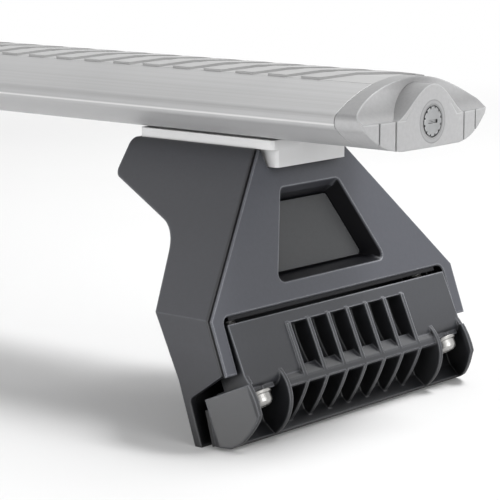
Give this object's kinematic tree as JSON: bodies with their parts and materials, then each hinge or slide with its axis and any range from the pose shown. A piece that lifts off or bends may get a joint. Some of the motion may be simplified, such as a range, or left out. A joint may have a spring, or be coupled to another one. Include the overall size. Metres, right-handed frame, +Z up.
{
  "type": "gutter mount roof rack",
  "caption": "Wing-section roof crossbar on two flared legs that clamp into a vehicle's rain gutters with bolted, finned jaws.",
  "frame": {"origin": "centre of the part's bounding box in plan, at the lower edge of the feet", "axes": "+X along the bar, +Y along the vehicle, +Z up"},
  "size_m": [1.232, 0.154, 0.1357],
  "materials": {
    "bar_aluminium": "satin silver anodising",
    "strip_rubber": "matt grey, ribbed",
    "cap_plastic": "matt light grey",
    "lock_steel": "satin plated",
    "leg_plastic": "fine-grained dark grey",
    "cover_plastic": "fine-grained dark grey",
    "badge_plastic": "smooth dark grey",
    "jaw_plastic": "fine-grained dark grey",
    "pad_rubber": "matt light grey",
    "liner_rubber": "matt black",
    "fixing_steel": "plain zinc-plated"
  },
  "bodies": {
    "bar": {"crossbar": "bar_aluminium", "top_strip": "strip_rubber"},
    "leg_right": {"leg_body_right": "leg_plastic", "saddle_pad_right": "pad_rubber", "bar_bolts_right": "fixing_steel", "spreader_plate_right": "fixing_steel", "nut_bar_right": "fixing_steel"},
    "cover_right": {"leg_cover_right": "cover_plastic", "badge_right": "badge_plastic"},
    "jaw_right": {"clamp_jaw_right": "jaw_plastic", "jaw_liner_right": "liner_rubber"},
    "bolt_front_right": {"clamp_bolt_front_right": "fixing_steel"},
    "bolt_rear_right": {"clamp_bolt_rear_right": "fixing_steel"},
    "cap_right": {"end_cap_right": "cap_plastic"},
    "lock_right": {"lock_cylinder_right": "lock_steel"},
    "leg_left": {"leg_body_left": "leg_plastic", "saddle_pad_left": "pad_rubber", "bar_bolts_left": "fixing_steel", "spreader_plate_left": "fixing_steel", "nut_bar_left": "fixing_steel"},
    "cover_left": {"leg_cover_left": "cover_plastic", "badge_left": "badge_plastic"},
    "jaw_left": {"clamp_jaw_left": "jaw_plastic", "jaw_liner_left": "liner_rubber"},
    "bolt_front_left": {"clamp_bolt_front_left": "fixing_steel"},
    "bolt_rear_left": {"clamp_bolt_rear_left": "fixing_steel"},
    "cap_left": {"end_cap_left": "cap_plastic"},
    "lock_left": {"lock_cylinder_left": "lock_steel"}
  },
  "joints": [
    {"name": "leg_right_slide", "type": "slide", "parent": "bar", "child": "leg_right", "axis": [1, 0, 0], "range_m": [-0.2, 0.03]},
    {"name": "cover_right_slide", "type": "slide", "parent": "leg_right", "child": "cover_right", "axis": [1, 0, 0], "range_m": [0, 0.06]},
    {"name": "jaw_right_slide", "type": "slide", "parent": "leg_right", "child": "jaw_right", "axis": [0.5, 0, -0.866], "range_m": [-0.001, 0.008]},
    {"name": "bolt_front_right_turn", "type": "hinge", "parent": "jaw_right", "child": "bolt_front_right", "pos_m": [0.5801, -0.06, 0.0198], "axis": [0.5, 0, -0.866], "range_deg": [-361, 2881]},
    {"name": "bolt_rear_right_turn", "type": "hinge", "parent": "jaw_right", "child": "bolt_rear_right", "pos_m": [0.5801, 0.06, 0.0198], "axis": [0.5, 0, -0.866], "range_deg": [-361, 2881]},
    {"name": "cap_right_slide", "type": "slide", "parent": "bar", "child": "cap_right", "axis": [1, 0, 0], "range_m": [0, 0.05]},
    {"name": "lock_right_turn", "type": "hinge", "parent": "cap_right", "child": "lock_right", "pos_m": [0.61, 0, 0.1187], "axis": [1, 0, 0], "range_deg": [0, 90]},
    {"name": "leg_left_slide", "type": "slide", "parent": "bar", "child": "leg_left", "axis": [-1, 0, 0], "range_m": [-0.2, 0.03]},
    {"name": "cover_left_slide", "type": "slide", "parent": "leg_left", "child": "cover_left", "axis": [-1, 0, 0], "range_m": [0, 0.06]},
    {"name": "jaw_left_slide", "type": "slide", "parent": "leg_left", "child": "jaw_left", "axis": [-0.5, 0, -0.866], "range_m": [-0.001, 0.008]},
    {"name": "bolt_front_left_turn", "type": "hinge", "parent": "jaw_left", "child": "bolt_front_left", "pos_m": [-0.5801, -0.06, 0.0198], "axis": [-0.5, 0, -0.866], "range_deg": [-361, 2881]},
    {"name": "bolt_rear_left_turn", "type": "hinge", "parent": "jaw_left", "child": "bolt_rear_left", "pos_m": [-0.5801, 0.06, 0.0198], "axis": [-0.5, 0, -0.866], "range_deg": [-361, 2881]},
    {"name": "cap_left_slide", "type": "slide", "parent": "bar", "child": "cap_left", "axis": [-1, 0, 0], "range_m": [0, 0.05]},
    {"name": "lock_left_turn", "type": "hinge", "parent": "cap_left", "child": "lock_left", "pos_m": [-0.61, 0, 0.1187], "axis": [-1, 0, 0], "range_deg": [0, 90]}
  ],
  "couplings": [
    {"joint": "bolt_front_right_turn", "follows": "jaw_right_slide", "rad_per_m": 6283.2},
    {"joint": "bolt_rear_right_turn", "follows": "jaw_right_slide", "rad_per_m": 6283.2},
    {"joint": "bolt_front_left_turn", "follows": "jaw_left_slide", "rad_per_m": 6283.2},
    {"joint": "bolt_rear_left_turn", "follows": "jaw_left_slide", "rad_per_m": 6283.2}
  ]
}
